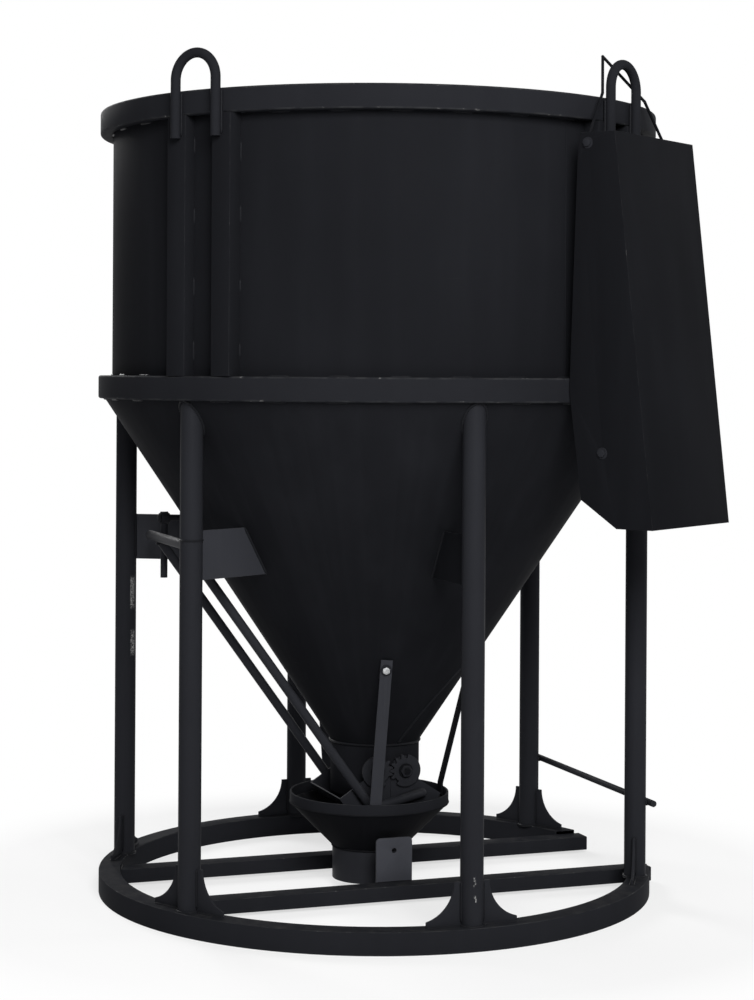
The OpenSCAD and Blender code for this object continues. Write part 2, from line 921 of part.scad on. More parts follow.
hopper_cylinder();
hopper_cone();
rim_band();
mid_band();
throat_pipe();
lug(0);  // lug_1
lug(1);  // lug_2
lug(2);  // lug_3
lug(3);  // lug_4
lug_posts(0);  // lug_posts_1
lug_posts(1);  // lug_posts_2
lug_posts(2);  // lug_posts_3
lug_posts(3);  // lug_posts_4
leg(0);  // leg_1
leg(1);  // leg_2
leg(2);  // leg_3
leg(3);  // leg_4
leg(4);  // leg_5
leg(5);  // leg_6
leg_brace(1);  // leg_brace_2
leg_brace(2);  // leg_brace_3
leg_brace(3);  // leg_brace_4
leg_brace(4);  // leg_brace_5
base_ring();
crossbar(-1);  // front_crossbar
crossbar(1);  // rear_crossbar
tie_bar();
funnel_rim();
funnel_cone();
spout();
tab(-1);  // front_tab
tab(1);  // rear_tab
strap(front_turn);  // front_strap
strap(rear_turn);  // rear_strap
strap(side_turn);  // side_strap
strap_bracket(front_turn);  // front_strap_bracket
strap_bracket(rear_turn);  // rear_strap_bracket
strap_bracket(side_turn);  // side_strap_bracket
strap_bolts();
gate_pins();
gate_nuts();
right_jaw();
left_jaw();
right_sector(1);  // right_front_sector
right_sector(0);  // right_rear_sector
left_sector(1);  // left_front_sector
left_sector(0);  // left_rear_sector
lever();
latch_peg();
latch_hook();
chute_trough();
chute_bolts();
chute_nuts();
chute_bail();
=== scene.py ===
# %% [markdown]
# # A concrete bucket in black paint
# The real object is a welded steel bucket: a round hopper on a cone, six tube legs on a ring, a twin-jaw gate
# with a long lever, and a chute that hangs on one lug. The solids come from the CAD model. They could be modelled
# again here, but then the two models would drift apart. So this lesson dresses them: it rounds the edges, lays weld
# beads along the joints, and paints and wears the steel.

# %% Load the frame
import json
import math
import random

import bmesh
import bpy
from mathutils import Matrix, Vector


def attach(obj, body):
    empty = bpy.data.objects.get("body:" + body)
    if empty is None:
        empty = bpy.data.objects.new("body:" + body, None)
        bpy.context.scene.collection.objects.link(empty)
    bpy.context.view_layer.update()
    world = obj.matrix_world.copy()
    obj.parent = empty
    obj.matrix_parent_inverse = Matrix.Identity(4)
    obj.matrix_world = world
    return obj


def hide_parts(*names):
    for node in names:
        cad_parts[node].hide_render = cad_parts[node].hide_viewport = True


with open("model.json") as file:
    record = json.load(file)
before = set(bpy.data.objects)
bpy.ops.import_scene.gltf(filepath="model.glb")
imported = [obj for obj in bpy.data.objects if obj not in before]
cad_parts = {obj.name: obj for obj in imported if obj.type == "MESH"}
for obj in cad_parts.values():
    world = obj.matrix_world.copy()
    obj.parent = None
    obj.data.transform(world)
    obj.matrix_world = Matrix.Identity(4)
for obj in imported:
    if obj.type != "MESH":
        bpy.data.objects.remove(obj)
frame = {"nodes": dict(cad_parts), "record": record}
NODE = frame["nodes"]
BODY_OF = {n: b for b, names in frame["record"]["behaviour"]["bodies"].items() for n in names}
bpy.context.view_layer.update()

# %% [markdown]
# ## Camera
# The bucket is seen from the front left, through a long lens that stands at chest height. The camera could be
# tilted to put the bucket in the frame, but then the legs would lean together. A level camera keeps them upright,
# so the picture is moved with the lens shift.

# %% Camera
FOCAL_LENGTH, LENS_SHIFT = 79.3, -0.126
EYE_PLACE, EYE_TURN, EYE_ROLL = (-2.108, -5.921, 1.456), -19.6, 0.33
scene = bpy.context.scene
scene.view_settings.view_transform = "Standard"
lens = bpy.data.cameras.new("portrait")
lens.sensor_width = 36.0
lens.lens = FOCAL_LENGTH
lens.shift_y = LENS_SHIFT
eye = bpy.data.objects.new("portrait", lens)
scene.collection.objects.link(eye)
turn = Matrix.Rotation(math.radians(EYE_TURN), 4, "Z") @ Matrix.Rotation(math.radians(90), 4, "X")
eye.matrix_world = Matrix.Translation(EYE_PLACE) @ turn @ Matrix.Rotation(math.radians(EYE_ROLL), 4, "Z")
scene.camera = eye
print("camera at", [round(v, 2) for v in eye.location])

# %% [markdown]
# ## Studio
# The bucket stands in front of plain white. A white room could do that, but it would light the paint from all
# sides and take away its form. So the world is white where the camera or a mirror looks at it, and lights the rest
# more weakly.

# %% World
world = bpy.data.worlds.new("studio")
scene.world = world
world.use_nodes = True
wt = world.node_tree
wt.nodes.clear()


def seen_by_eye(tree):
    """1 where the camera, a mirror or glass looks at the surface, 0 for the rays that only carry light."""
    ray = tree.nodes.new("ShaderNodeLightPath")
    total = ray.outputs["Is Camera Ray"]
    for label in ("Is Glossy Ray", "Is Transmission Ray"):
        most = tree.nodes.new("ShaderNodeMath")
        most.operation = "MAXIMUM"
        tree.links.new(total, most.inputs[0])
        tree.links.new(ray.outputs[label], most.inputs[1])
        total = most.outputs[0]
    return total


WORLD_LIGHT = 0.18
level = wt.nodes.new("ShaderNodeMix")
level.inputs["A"].default_value = WORLD_LIGHT
level.inputs["B"].default_value = 1.0
wt.links.new(seen_by_eye(wt), level.inputs["Factor"])
sky = wt.nodes.new("ShaderNodeBackground")
sky.inputs["Color"].default_value = (1.0, 1.0, 1.0, 1.0)
wt.links.new(level.outputs["Result"], sky.inputs["Strength"])
wt.links.new(sky.outputs[0], wt.nodes.new("ShaderNodeOutputWorld").inputs["Surface"])
print("world light", WORLD_LIGHT)

# %% [markdown]
# The form of black paint shows best in soft light from near the camera: a round leg is then lightest along its
# middle. A small lamp would draw hard shadows, so three wide soft boxes are used. The strongest stands in front,
# and the other two keep the sides and the back from going dark.

# %% Lamps and floor


def lamp(name, place, aim, size, watts):
    """A square soft box at a place, turned to a point."""
    data = bpy.data.lights.new(name, "AREA")
    data.energy = watts
    data.size = size
    obj = bpy.data.objects.new(name, data)
    scene.collection.objects.link(obj)
    obj.location = place
    obj.rotation_euler = (Vector(aim) - Vector(place)).to_track_quat("-Z", "Y").to_euler()


lamp("front_softbox", (-1.0, -5.8, 4.0), (0, 0, 1.2), 2.6, 430)
lamp("side_softbox", (5.0, -1.6, 3.6), (0, 0, 1.2), 2.4, 60)
lamp("back_softbox", (-1.5, 5.2, 4.2), (0, 0, 1.3), 2.6, 240)

bm = bmesh.new()
bmesh.ops.create_grid(bm, x_segments=1, y_segments=1, size=60.0)
floor_mesh = bpy.data.meshes.new("studio_floor")
bm.to_mesh(floor_mesh)
bm.free()
floor = bpy.data.objects.new("studio_floor", floor_mesh)
scene.collection.objects.link(floor)
print("lamps and floor are set")

# %% [markdown]
# ## Shader groups
# The paint, the rubbed edges and the dust are the same effect on every piece. They could be built again in each
# material, but then a change would have to be made many times, so each is one node group with named sockets. A
# group gives out masks, colours and heights. The shader itself stays in each material.

# %% Groups and sums


def new_group(name, inputs, outputs):
    """An empty shader group with float and colour sockets."""
    g = bpy.data.node_groups.new(name, "ShaderNodeTree")
    for label, kind, value in inputs:
        s = g.interface.new_socket(label, in_out="INPUT", socket_type=kind)
        s.default_value = value
    for label, kind in outputs:
        g.interface.new_socket(label, in_out="OUTPUT", socket_type=kind)
    return g, g.nodes.new("NodeGroupInput"), g.nodes.new("NodeGroupOutput")


def math_node(tree, op, a, b=None, clamp=False):
    """A math node with sockets or numbers for its operands."""
    n = tree.nodes.new("ShaderNodeMath")
    n.operation = op
    n.use_clamp = clamp
    for i, v in enumerate([a] if b is None else [a, b]):
        if isinstance(v, (int, float)):
            n.inputs[i].default_value = v
        else:
            tree.links.new(v, n.inputs[i])
    return n.outputs[0]


print("helpers for groups and sums ready")

# %% [markdown]
# Wear is never even, and it has a direction: streaks run down and scratches run along. An image could hold that, but
# it would need every solid unwrapped. Noise works on any solid from its coordinates, so the next helpers make noise,
# stretch it, cut it to a mask and mix two colours with it.

# %% Noise and mixing


def noise(tree, vector, scale, detail, rough=0.55):
    """Noise between 0 and 1 at a scale."""
    n = tree.nodes.new("ShaderNodeTexNoise")
    n.inputs["Scale"].default_value = scale
    n.inputs["Detail"].default_value = detail
    n.inputs["Roughness"].default_value = rough
    tree.links.new(vector, n.inputs["Vector"])
    return n.outputs["Fac"]


def stretch(tree, vector, x, y, z):
    """The coordinates, stretched along the axes."""
    n = tree.nodes.new("ShaderNodeMapping")
    n.inputs["Scale"].default_value = (x, y, z)
    tree.links.new(vector, n.inputs["Vector"])
    return n.outputs[0]


def ramp(tree, value, low, high):
    """Takes low..high of a value to 0..1, smoothly and clamped."""
    n = tree.nodes.new("ShaderNodeMapRange")
    n.interpolation_type = "SMOOTHSTEP"
    n.inputs["From Min"].default_value = low
    n.inputs["From Max"].default_value = high
    tree.links.new(value, n.inputs["Value"])
    return n.outputs["Result"]


def blend_colour(tree, factor, a, b):
    """Mixes two colours, each a socket or a tuple."""
    n = tree.nodes.new("ShaderNodeMix")
    n.data_type = "RGBA"
    tree.links.new(factor, n.inputs["Factor"])
    for slot, v in ((n.inputs[6], a), (n.inputs[7], b)):
        if isinstance(v, tuple):
            slot.default_value = v
        else:
            tree.links.new(v, slot)
    return n.outputs[2]


print("helpers for noise and mixing ready")

# %% [markdown]
# ### Paint
# A brushed or rolled black coat is never one tone: it has clouds, and faded streaks that run down. Up close it has
# the fine skin of dried paint over a slow wave in the plate. Three noises at three scales give these: large for the
# clouds, stretched along z for the streaks, and fine for the skin.

# %% Paint group
SATIN_BLACK = (0.0085, 0.0087, 0.0104, 1)
FADED_BLACK = (0.0115, 0.0118, 0.0136, 1)
paint_group, gi, go = new_group(
    "rolled_paint",
    [("Tone", "NodeSocketColor", SATIN_BLACK), ("Faded", "NodeSocketColor", FADED_BLACK),
     ("Gloss", "NodeSocketFloat", 0.46), ("Streaks", "NodeSocketFloat", 0.5)],
    [("Colour", "NodeSocketColor"), ("Roughness", "NodeSocketFloat"), ("Height", "NodeSocketFloat")])
where = paint_group.nodes.new("ShaderNodeTexCoord").outputs["Object"]
cloud = ramp(paint_group, noise(paint_group, where, 1.7, 3.0), 0.3, 0.75)
streak = ramp(paint_group, noise(paint_group, stretch(paint_group, where, 8.0, 8.0, 0.6), 1.6, 3.0), 0.4, 0.8)
fade = math_node(paint_group, "ADD", math_node(paint_group, "MULTIPLY", cloud, 0.5),
                 math_node(paint_group, "MULTIPLY", streak, gi.outputs["Streaks"]), True)
paint_group.links.new(blend_colour(paint_group, fade, gi.outputs["Tone"], gi.outputs["Faded"]), go.inputs["Colour"])
patch = math_node(paint_group, "SUBTRACT", noise(paint_group, where, 11.0, 5.0), 0.5)
uneven = math_node(paint_group, "MULTIPLY", patch, 0.1)
paint_group.links.new(math_node(paint_group, "ADD", gi.outputs["Gloss"], uneven), go.inputs["Roughness"])
peel = math_node(paint_group, "MULTIPLY", noise(paint_group, where, 190.0, 3.0), 0.16)
wave = math_node(paint_group, "MULTIPLY", noise(paint_group, where, 4.5, 1.5), 0.3)
paint_group.links.new(math_node(paint_group, "ADD", peel, wave), go.inputs["Height"])
print("paint group", len(paint_group.nodes), "nodes")

# %% [markdown]
# ### Rubbed edges
# Paint wears thin along edges first, and in places it is gone. A bevel node could find the edges while rendering,
# but it looks round every point again and is slow. The rounded copies made below know their edges, so they carry a
# mask there instead, and noise breaks it into patches.

# %% Rubbed edge group
rub_group, gi, go = new_group(
    "rubbed_edge",
    [("Amount", "NodeSocketFloat", 0.5)],
    [("Thin", "NodeSocketFloat"), ("Bare", "NodeSocketFloat")])
edge = rub_group.nodes.new("ShaderNodeAttribute")
edge.attribute_name = "rub"
where = rub_group.nodes.new("ShaderNodeTexCoord").outputs["Object"]
broken = ramp(rub_group, noise(rub_group, where, 22.0, 5.0, 0.6), 0.36, 0.72)
thin = math_node(rub_group, "MULTIPLY", edge.outputs["Fac"], broken)
rub_group.links.new(math_node(rub_group, "MULTIPLY", thin, gi.outputs["Amount"], True), go.inputs["Thin"])
nick = ramp(rub_group, noise(rub_group, where, 55.0, 4.0, 0.6), 0.63, 0.69)
bare = math_node(rub_group, "MULTIPLY", thin, nick)
rub_group.links.new(math_node(rub_group, "MULTIPLY", bare, gi.outputs["Amount"], True), go.inputs["Bare"])
print("edge group", len(rub_group.nodes), "nodes")

# %% [markdown]
# ### Dust and scratches
# Cement dust settles on what faces up, and tools leave hair lines. Both could be painted by hand, solid by solid. One
# rule for all is quicker: the dust follows the upward part of the surface normal, and the scratches are noise that
# is stretched hard in one direction and kept to patches that get handled.

# %% Dust and scratch group
dust_group, gi, go = new_group(
    "dust_and_scratches",
    [("Dust", "NodeSocketFloat", 0.3), ("Scratches", "NodeSocketFloat", 0.3)],
    [("Dusty", "NodeSocketFloat"), ("Scratched", "NodeSocketFloat")])
coord = dust_group.nodes.new("ShaderNodeTexCoord")
split = dust_group.nodes.new("ShaderNodeSeparateXYZ")
dust_group.links.new(coord.outputs["Normal"], split.inputs[0])
up = ramp(dust_group, split.outputs["Z"], 0.25, 1.0)
fleck = ramp(dust_group, noise(dust_group, coord.outputs["Object"], 28.0, 6.0, 0.66), 0.38, 0.8)
settled = math_node(dust_group, "MULTIPLY", up, fleck)
dust_group.links.new(math_node(dust_group, "MULTIPLY", settled, gi.outputs["Dust"], True), go.inputs["Dusty"])
hair = noise(dust_group, stretch(dust_group, coord.outputs["Object"], 14.0, 14.0, 330.0), 1.0, 3.0)
slant = noise(dust_group, stretch(dust_group, coord.outputs["Object"], 300.0, 260.0, 16.0), 1.0, 3.0)
lines = math_node(dust_group, "MAXIMUM", ramp(dust_group, hair, 0.69, 0.72), ramp(dust_group, slant, 0.70, 0.73))
handled = ramp(dust_group, noise(dust_group, coord.outputs["Object"], 5.0, 3.0), 0.6, 0.72)
scratch = math_node(dust_group, "MULTIPLY", lines, handled)
shown = math_node(dust_group, "MULTIPLY", scratch, gi.outputs["Scratches"], True)
dust_group.links.new(shown, go.inputs["Scratched"])
print("dust group", len(dust_group.nodes), "nodes")

# %% [markdown]
# ### Scrapes
# Two legs are knocked to bright metal in a few spots. Painting a mask by hand would need a texture, so a scrape is a
# box given by its middle and reach, with its inside broken up by fine noise.

# %% Scrape group
scrape_group, gi, go = new_group(
    "scrape_mark",
    [("Middle", "NodeSocketVector", (0, 0, 0)), ("Reach", "NodeSocketVector", (0.01, 0.01, 0.03))],
    [("Mark", "NodeSocketFloat")])
where = scrape_group.nodes.new("ShaderNodeTexCoord").outputs["Object"]


def vector_math(tree, op, a, b=None):
    """A vector math node on sockets."""
    n = tree.nodes.new("ShaderNodeVectorMath")
    n.operation = op
    tree.links.new(a, n.inputs[0])
    if b is not None:
        tree.links.new(b, n.inputs[1])
    return n.outputs[0]


off = vector_math(scrape_group, "ABSOLUTE", vector_math(
    scrape_group, "DIVIDE", vector_math(scrape_group, "SUBTRACT", where, gi.outputs["Middle"]), gi.outputs["Reach"]))
side = scrape_group.nodes.new("ShaderNodeSeparateXYZ")
scrape_group.links.new(off, side.inputs[0])
level_off = math_node(scrape_group, "MAXIMUM", side.outputs["X"], side.outputs["Y"])
far = math_node(scrape_group, "MAXIMUM", level_off, side.outputs["Z"])
inside = ramp(scrape_group, math_node(scrape_group, "SUBTRACT", 1.0, far), 0.0, 0.35)
grit = noise(scrape_group, stretch(scrape_group, where, 420.0, 420.0, 240.0), 1.0, 5.0, 0.75)
ragged = ramp(scrape_group, grit, 0.49, 0.56)
scrape_group.links.new(math_node(scrape_group, "MULTIPLY", inside, ragged), go.inputs["Mark"])
print("scrape group", len(scrape_group.nodes), "nodes")

# %% [markdown]
# ## Finishes
# The bucket has one coat of black, but not one tone: the shell and the funnel are dull and dark, and bars, legs and
# loose plates are lighter. On the brace plates, straps and tabs the lighter coat is painted light, for faces turned
# to the lamps. So one function makes the coat, and each kind of piece calls it with its own depth, gloss, wear and
# dust.

# %% Coat
COOL_BLACK, FADING = (1.0, 1.04, 1.23), 1.4


def place_group(tree, group, **values):
    """Puts a group into a material and sets its inputs."""
    n = tree.nodes.new("ShaderNodeGroup")
    n.node_tree = group
    for label, v in values.items():
        n.inputs[label].default_value = v
    return n


def painted(name, depth, gloss, rubbed, dust, scratches=0.3, streaks=0.5, bump=0.4, shine=0.03, scrapes=()):
    """Black paint over steel, with rubbed edges, dust, scratches and scrapes at given places."""
    mat = bpy.data.materials.new(name)
    mat.use_nodes = True
    t = mat.node_tree
    shader = t.nodes["Principled BSDF"]
    shader.inputs["Specular IOR Level"].default_value = shine
    tone = tuple(depth * part for part in COOL_BLACK) + (1,)
    faded = tuple(c * FADING for c in tone[:3]) + (1,)
    coat = place_group(t, paint_group, Tone=tone, Faded=faded, Gloss=gloss, Streaks=streaks)
    rub = place_group(t, rub_group, Amount=rubbed)
    dirt = place_group(t, dust_group, Dust=dust, Scratches=scratches)
    colour = blend_colour(t, rub.outputs["Thin"], coat.outputs["Colour"], THIN_PAINT)
    colour = blend_colour(t, rub.outputs["Bare"], colour, BARE_STEEL)
    colour = blend_colour(t, dirt.outputs["Dusty"], colour, GREY_DUST)
    colour = blend_colour(t, dirt.outputs["Scratched"], colour, SCRATCHED)
    for middle, reach in scrapes:
        mark = place_group(t, scrape_group, Middle=middle, Reach=reach)
        colour = blend_colour(t, mark.outputs["Mark"], colour, SCRAPED)
    t.links.new(colour, shader.inputs["Base Color"])
    rough = math_node(t, "ADD", coat.outputs["Roughness"], math_node(t, "MULTIPLY", dirt.outputs["Dusty"], 0.5), True)
    t.links.new(rough, shader.inputs["Roughness"])
    lift = t.nodes.new("ShaderNodeBump")
    lift.inputs["Strength"].default_value = bump
    lift.inputs["Distance"].default_value = 0.001
    t.links.new(coat.outputs["Height"], lift.inputs["Height"])
    t.links.new(lift.outputs["Normal"], shader.inputs["Normal"])
    return mat


print("coat ready")

# %% [markdown]
# ### The coats
# Under the paint lies the same grey steel everywhere, so its colours are shared. The paints differ in depth: outlet
# plates and braces are the lightest, as painted light for faces turned to the lamps, and the funnel and the chute are
# the darkest. A low shine keeps the white surroundings from drawing bright lines on edges that are seen from the
# side.

# %% Painted finishes
THIN_PAINT = (0.04, 0.041, 0.043, 1)
BARE_STEEL = (0.26, 0.255, 0.25, 1)
GREY_DUST = (0.11, 0.107, 0.1, 1)
SCRATCHED = (0.03, 0.03, 0.031, 1)
SCRAPED = (0.34, 0.34, 0.335, 1)
LEG_SCRAPES = [((-0.6275, 0.3365, 0.818), (0.008, 0.02, 0.052)), ((-0.6256, 0.3357, 0.673), (0.008, 0.02, 0.042))]
CHIPS = [(-0.0036, 0.1815, 0.0035, 0.006), (-0.0008, 0.171, 0.003, 0.0035), (-0.0062, 0.165, 0.002, 0.003),
         (-0.0034, 0.137, 0.003, 0.004), (-0.0008, 0.128, 0.0025, 0.005)]
LEG_SCRAPES += [((x, -0.769, z), (wide, 0.02, high)) for x, z, wide, high in CHIPS]
shell_paint = painted("shell_paint", 0.0088, 0.5, 0.5, 0.1, streaks=0.45, shine=0.002)
bar_paint = painted("bar_paint", 0.0126, 0.5, 0.7, 0.16, streaks=0.25, shine=0.003)
leg_paint = painted("leg_paint", 0.0150, 0.42, 0.7, 0.12, scratches=0.5, streaks=0.35, shine=0.01,
                    scrapes=LEG_SCRAPES)
# A lighter copy of the black coat: painted light on the brace plates and straps, which face the lamps.
lit_plate_paint = painted("lit_plate_paint", 0.026, 0.46, 0.7, 0.12, scratches=0.4, shine=0.05)
chute_paint = painted("chute_paint", 0.0066, 0.5, 0.65, 0.1, scratches=0.45, shine=0.004)
gate_paint = painted("gate_paint", 0.0170, 0.42, 0.35, 0.2, scratches=0.4, streaks=0.2, shine=0.03)
funnel_paint = painted("funnel_paint", 0.0068, 0.5, 0.7, 0.2, scratches=0.4, streaks=0.2, shine=0.003)
jaw_paint = painted("jaw_paint", 0.0170, 0.42, 0.1, 0.05, scratches=0.4, streaks=0.2, shine=0.01)
# The lightest copy of the black coat: painted light on the tabs, which face up to the lamps.
lit_tab_paint = painted("lit_tab_paint", 0.042, 0.46, 0.7, 0.12, scratches=0.4, shine=0.05)
weld_paint = painted("weld_paint", 0.009, 0.36, 0.2, 0.1, scratches=0.0, streaks=0.1, bump=0.3, shine=0.03)
coats = (shell_paint, bar_paint, leg_paint, lit_plate_paint, chute_paint, gate_paint, funnel_paint, jaw_paint, lit_tab_paint,
         weld_paint)
print("painted finishes", [m.name for m in coats])

# %% [markdown]
# ### Bright finish
# Only the strap bolts are bright. The other bolts, the nuts and the pivot pins were painted over with the rest. A
# light grey paint would look flat, because bare metal reflects its surroundings. So zinc gets the metal shader, with
# a film that dulls it in patches.

# %% Bright finish


def plated(name, colour, gloss, dust):
    """Plated steel with patches of dull film."""
    mat = bpy.data.materials.new(name)
    mat.use_nodes = True
    t = mat.node_tree
    shader = t.nodes["Principled BSDF"]
    shader.inputs["Metallic"].default_value = 1.0
    dirt = place_group(t, dust_group, Dust=dust, Scratches=0.0)
    where = t.nodes.new("ShaderNodeTexCoord").outputs["Object"]
    film = ramp(t, noise(t, where, 120.0, 5.0), 0.3, 0.75)
    dull = tuple(c * 0.55 for c in colour[:3]) + (1,)
    t.links.new(blend_colour(t, dirt.outputs["Dusty"], blend_colour(t, film, colour, dull), (0.2, 0.19, 0.17, 1)),
                shader.inputs["Base Color"])
    t.links.new(math_node(t, "ADD", gloss, math_node(t, "MULTIPLY", film, 0.22)), shader.inputs["Roughness"])
    grain = t.nodes.new("ShaderNodeBump")
    grain.inputs["Strength"].default_value = 0.25
    grain.inputs["Distance"].default_value = 0.0004
    t.links.new(noise(t, where, 700.0, 3.0), grain.inputs["Height"])
    t.links.new(grain.outputs["Normal"], shader.inputs["Normal"])
    return mat


zinc = plated("zinc_plate", (0.62, 0.63, 0.64, 1), 0.28, 0.3)
print("bright finish", zinc.name)

# %% [markdown]
# ## Floor
# The floor is a sheet of white paper. Lit paper alone would be grey at the back and show a horizon behind the legs.
# So near the bucket it takes a soft shadow, and further off it turns into plain white.

# %% Floor finish
floor_white = bpy.data.materials.new("floor_white")
floor_white.use_nodes = True
ft = floor_white.node_tree
sheet = ft.nodes["Principled BSDF"]
sheet.inputs["Roughness"].default_value = 0.9
sheet.inputs["Specular IOR Level"].default_value = 0.1
paper = ft.nodes.new("ShaderNodeTexCoord").outputs["Object"]
ft.links.new(blend_colour(ft, noise(ft, paper, 0.6, 2.0), (0.86, 0.86, 0.86, 1), (0.89, 0.89, 0.89, 1)),
             sheet.inputs["Base Color"])
away = ft.nodes.new("ShaderNodeVectorMath")
away.operation = "LENGTH"
ft.links.new(paper, away.inputs[0])
NEAR_WHITE, FADE_START, FADE_END = 0.64, 0.65, 1.55
fade = math_node(ft, "MAXIMUM", ramp(ft, away.outputs["Value"], FADE_START, FADE_END), NEAR_WHITE)
glow = ft.nodes.new("ShaderNodeEmission")
mixed = ft.nodes.new("ShaderNodeMixShader")
ft.links.new(math_node(ft, "MULTIPLY", fade, seen_by_eye(ft)), mixed.inputs[0])
ft.links.new(sheet.outputs[0], mixed.inputs[1])
ft.links.new(glow.outputs[0], mixed.inputs[2])
ft.links.new(mixed.outputs[0], ft.nodes["Material Output"].inputs["Surface"])
floor.data.materials.append(floor_white)
print("floor finish ready")

# %% [markdown]
# ## Rounded edges
# A drawn edge is perfectly sharp, but a bent or sawn one catches a line of light. A bevel modifier could round it,
# but it would leave no mask. So each solid is copied, its flat faces are joined again, and its outer edges are
# rounded in the mesh. The rounding also leaves a mask called rub, which the paint uses to wear thin there.

# %% Round a solid
SHARP, CREASE, FLAT = math.radians(38), math.radians(35), math.radians(0.6)


def rounded_copy(name, radius, finish):
    """Stands a copy with rounded outer edges in for a CAD node."""
    bm = bmesh.new()
    bm.from_mesh(NODE[name].data)
    bmesh.ops.remove_doubles(bm, verts=bm.verts, dist=1e-5)
    bmesh.ops.dissolve_limit(bm, angle_limit=FLAT, verts=bm.verts, edges=bm.edges)
    sharp = [e for e in bm.edges if len(e.link_faces) == 2 and e.calc_face_angle_signed(0.0) > SHARP]
    layer = bm.verts.layers.float.new("rub")
    made = bmesh.ops.bevel(bm, geom=sharp, offset=radius, offset_type="OFFSET", segments=3, profile=0.5,
                           affect="EDGES", clamp_overlap=True)
    round_faces = set(made["faces"])
    for v in made["verts"]:
        v[layer] = 1.0 if all(f in round_faces for f in v.link_faces) else 0.0
    for f in bm.faces:
        f.smooth = True
    for e in bm.edges:
        e.smooth = len(e.link_faces) != 2 or e.calc_face_angle(0.0) < CREASE
    mesh = bpy.data.meshes.new(name + "_rounded")
    bm.to_mesh(mesh)
    bm.free()
    obj = bpy.data.objects.new(name + "_rounded", mesh)
    scene.collection.objects.link(obj)
    mesh.materials.append(finish)
    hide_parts(name)
    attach(obj, BODY_OF[name])


print("rounding tool ready")

# %% [markdown]
# ### Which finish goes where
# Each solid has one finish, and it could be set by hand, node by node. The names say what a solid is, so one short
# function reads the finish and the radius of the edges from the name: large on folded tube, small on cut plate.

# %% Dress the solids
TUBES = {"rim_band": 0.006, "mid_band": 0.006, "base_ring": 0.006, "front_crossbar": 0.005, "rear_crossbar": 0.005}


def finish_of(name):
    """The finish and edge radius that a node gets."""
    if name == "strap_bolts":
        return zinc, 0.0009
    # The pin ends take the dark funnel coat: painted shade, as if each pin end were a dark hole.
    if name == "gate_pins":
        return funnel_paint, 0.001
    if name in ("gate_nuts", "chute_bolts", "chute_nuts"):
        return leg_paint, 0.0009
    if name in TUBES:
        return bar_paint, TUBES[name]
    if name.startswith("lug_posts"):
        return shell_paint, 0.0014
    if name.startswith(("funnel_rim", "lug")):
        return bar_paint, 0.0014
    if name in ("funnel_cone", "side_strap"):
        return funnel_paint, 0.0013
    if name.endswith("jaw"):
        return jaw_paint, 0.0005
    if name == "leg_brace_5":
        return shell_paint, 0.0015
    # Tabs, straps and brace plates take the lighter coats, painted light for faces turned to the lamps.
    if name in ("front_tab", "rear_tab"):
        return lit_tab_paint, 0.0015
    if name in ("front_strap", "rear_strap"):
        return lit_plate_paint, 0.0013
    if name.startswith("leg_brace"):
        return lit_plate_paint, 0.0015
    if name.startswith(("leg", "tie")):
        return leg_paint, 0.0015
    if name.startswith("chute"):
        return chute_paint, 0.0014
    if name.startswith(("hopper", "throat")):
        return shell_paint, 0.0014
    return gate_paint, 0.0013


for name in sorted(NODE):
    finish, radius = finish_of(name)
    rounded_copy(name, radius, finish)
print("rounded", len(NODE), "nodes")

# %% [markdown]
# ## Weld beads
# The bucket is welded together, and a bead follows each joint. The paths could be taken from the edges of the solids,
# but a joint lies between two solids and has no edge of its own. So the paths are worked out from radius, angle and
# height, with a few helpers.

# %% Bead paths


def polar(radius, degrees, z, centre=(0.0, 0.0)):
    """A point at a radius and angle round an upright axis."""
    a = math.radians(degrees)
    return Vector((centre[0] + radius * math.cos(a), centre[1] + radius * math.sin(a), z))


def resample(points, step):
    """Points at about equal steps along a path, with the direction there."""
    lengths = [(b - a).length for a, b in zip(points, points[1:])]
    total = sum(lengths)
    count = max(4, round(total / step))
    out, seg, run = [], 0, 0.0
    for i in range(count + 1):
        goal = total * i / count
        while seg < len(lengths) - 1 and run + lengths[seg] < goal:
            run += lengths[seg]
            seg += 1
        a, b = points[seg], points[seg + 1]
        out.append((a.lerp(b, (goal - run) / lengths[seg]), (b - a).normalized()))
    return out


def arc(radius, first, last, z, centre=(0.0, 0.0)):
    """A level arc as a path."""
    n = max(8, int(abs(last - first) / 3))
    return [polar(radius, first + (last - first) * i / n, z, centre) for i in range(n + 1)]


print("path helpers ready")

# %% [markdown]
# Under thick paint a bead still shows as a rippled cord. A curve with a round bevel would be smooth, so each bead is
# a tube built ring by ring: every second ring is thinner, as the puddle was moved on in steps, and the ends run out.
# Beads of one region are one mesh, to keep the piece count low.

# %% Bead tool
RIPPLE, BEAD_SIDES = 0.0035, 6
dice = random.Random(7)


def add_bead(bm, points, radius):
    """Adds one rippled bead along a path."""
    stations = resample(points, RIPPLE)
    rings = []
    last = len(stations) - 1
    for i, (place, along) in enumerate(stations):
        size = radius * (0.9 + 0.1 * (i % 2) + dice.uniform(-0.06, 0.06))
        size *= min(1.0, 0.35 + 0.3 * min(i, last - i))
        side = along.orthogonal().normalized() if abs(along.z) > 0.95 else along.cross(Vector((0, 0, 1))).normalized()
        lift = along.cross(side)
        turn = [2 * math.pi * k / BEAD_SIDES for k in range(BEAD_SIDES)]
        rings.append([bm.verts.new(place + size * (math.cos(a) * side + math.sin(a) * lift)) for a in turn])
    for a, b in zip(rings, rings[1:]):
        for k in range(BEAD_SIDES):
            n = (k + 1) % BEAD_SIDES
            bm.faces.new((a[k], a[n], b[n], b[k]))
    bm.faces.new(rings[0][::-1])
    bm.faces.new(rings[-1])


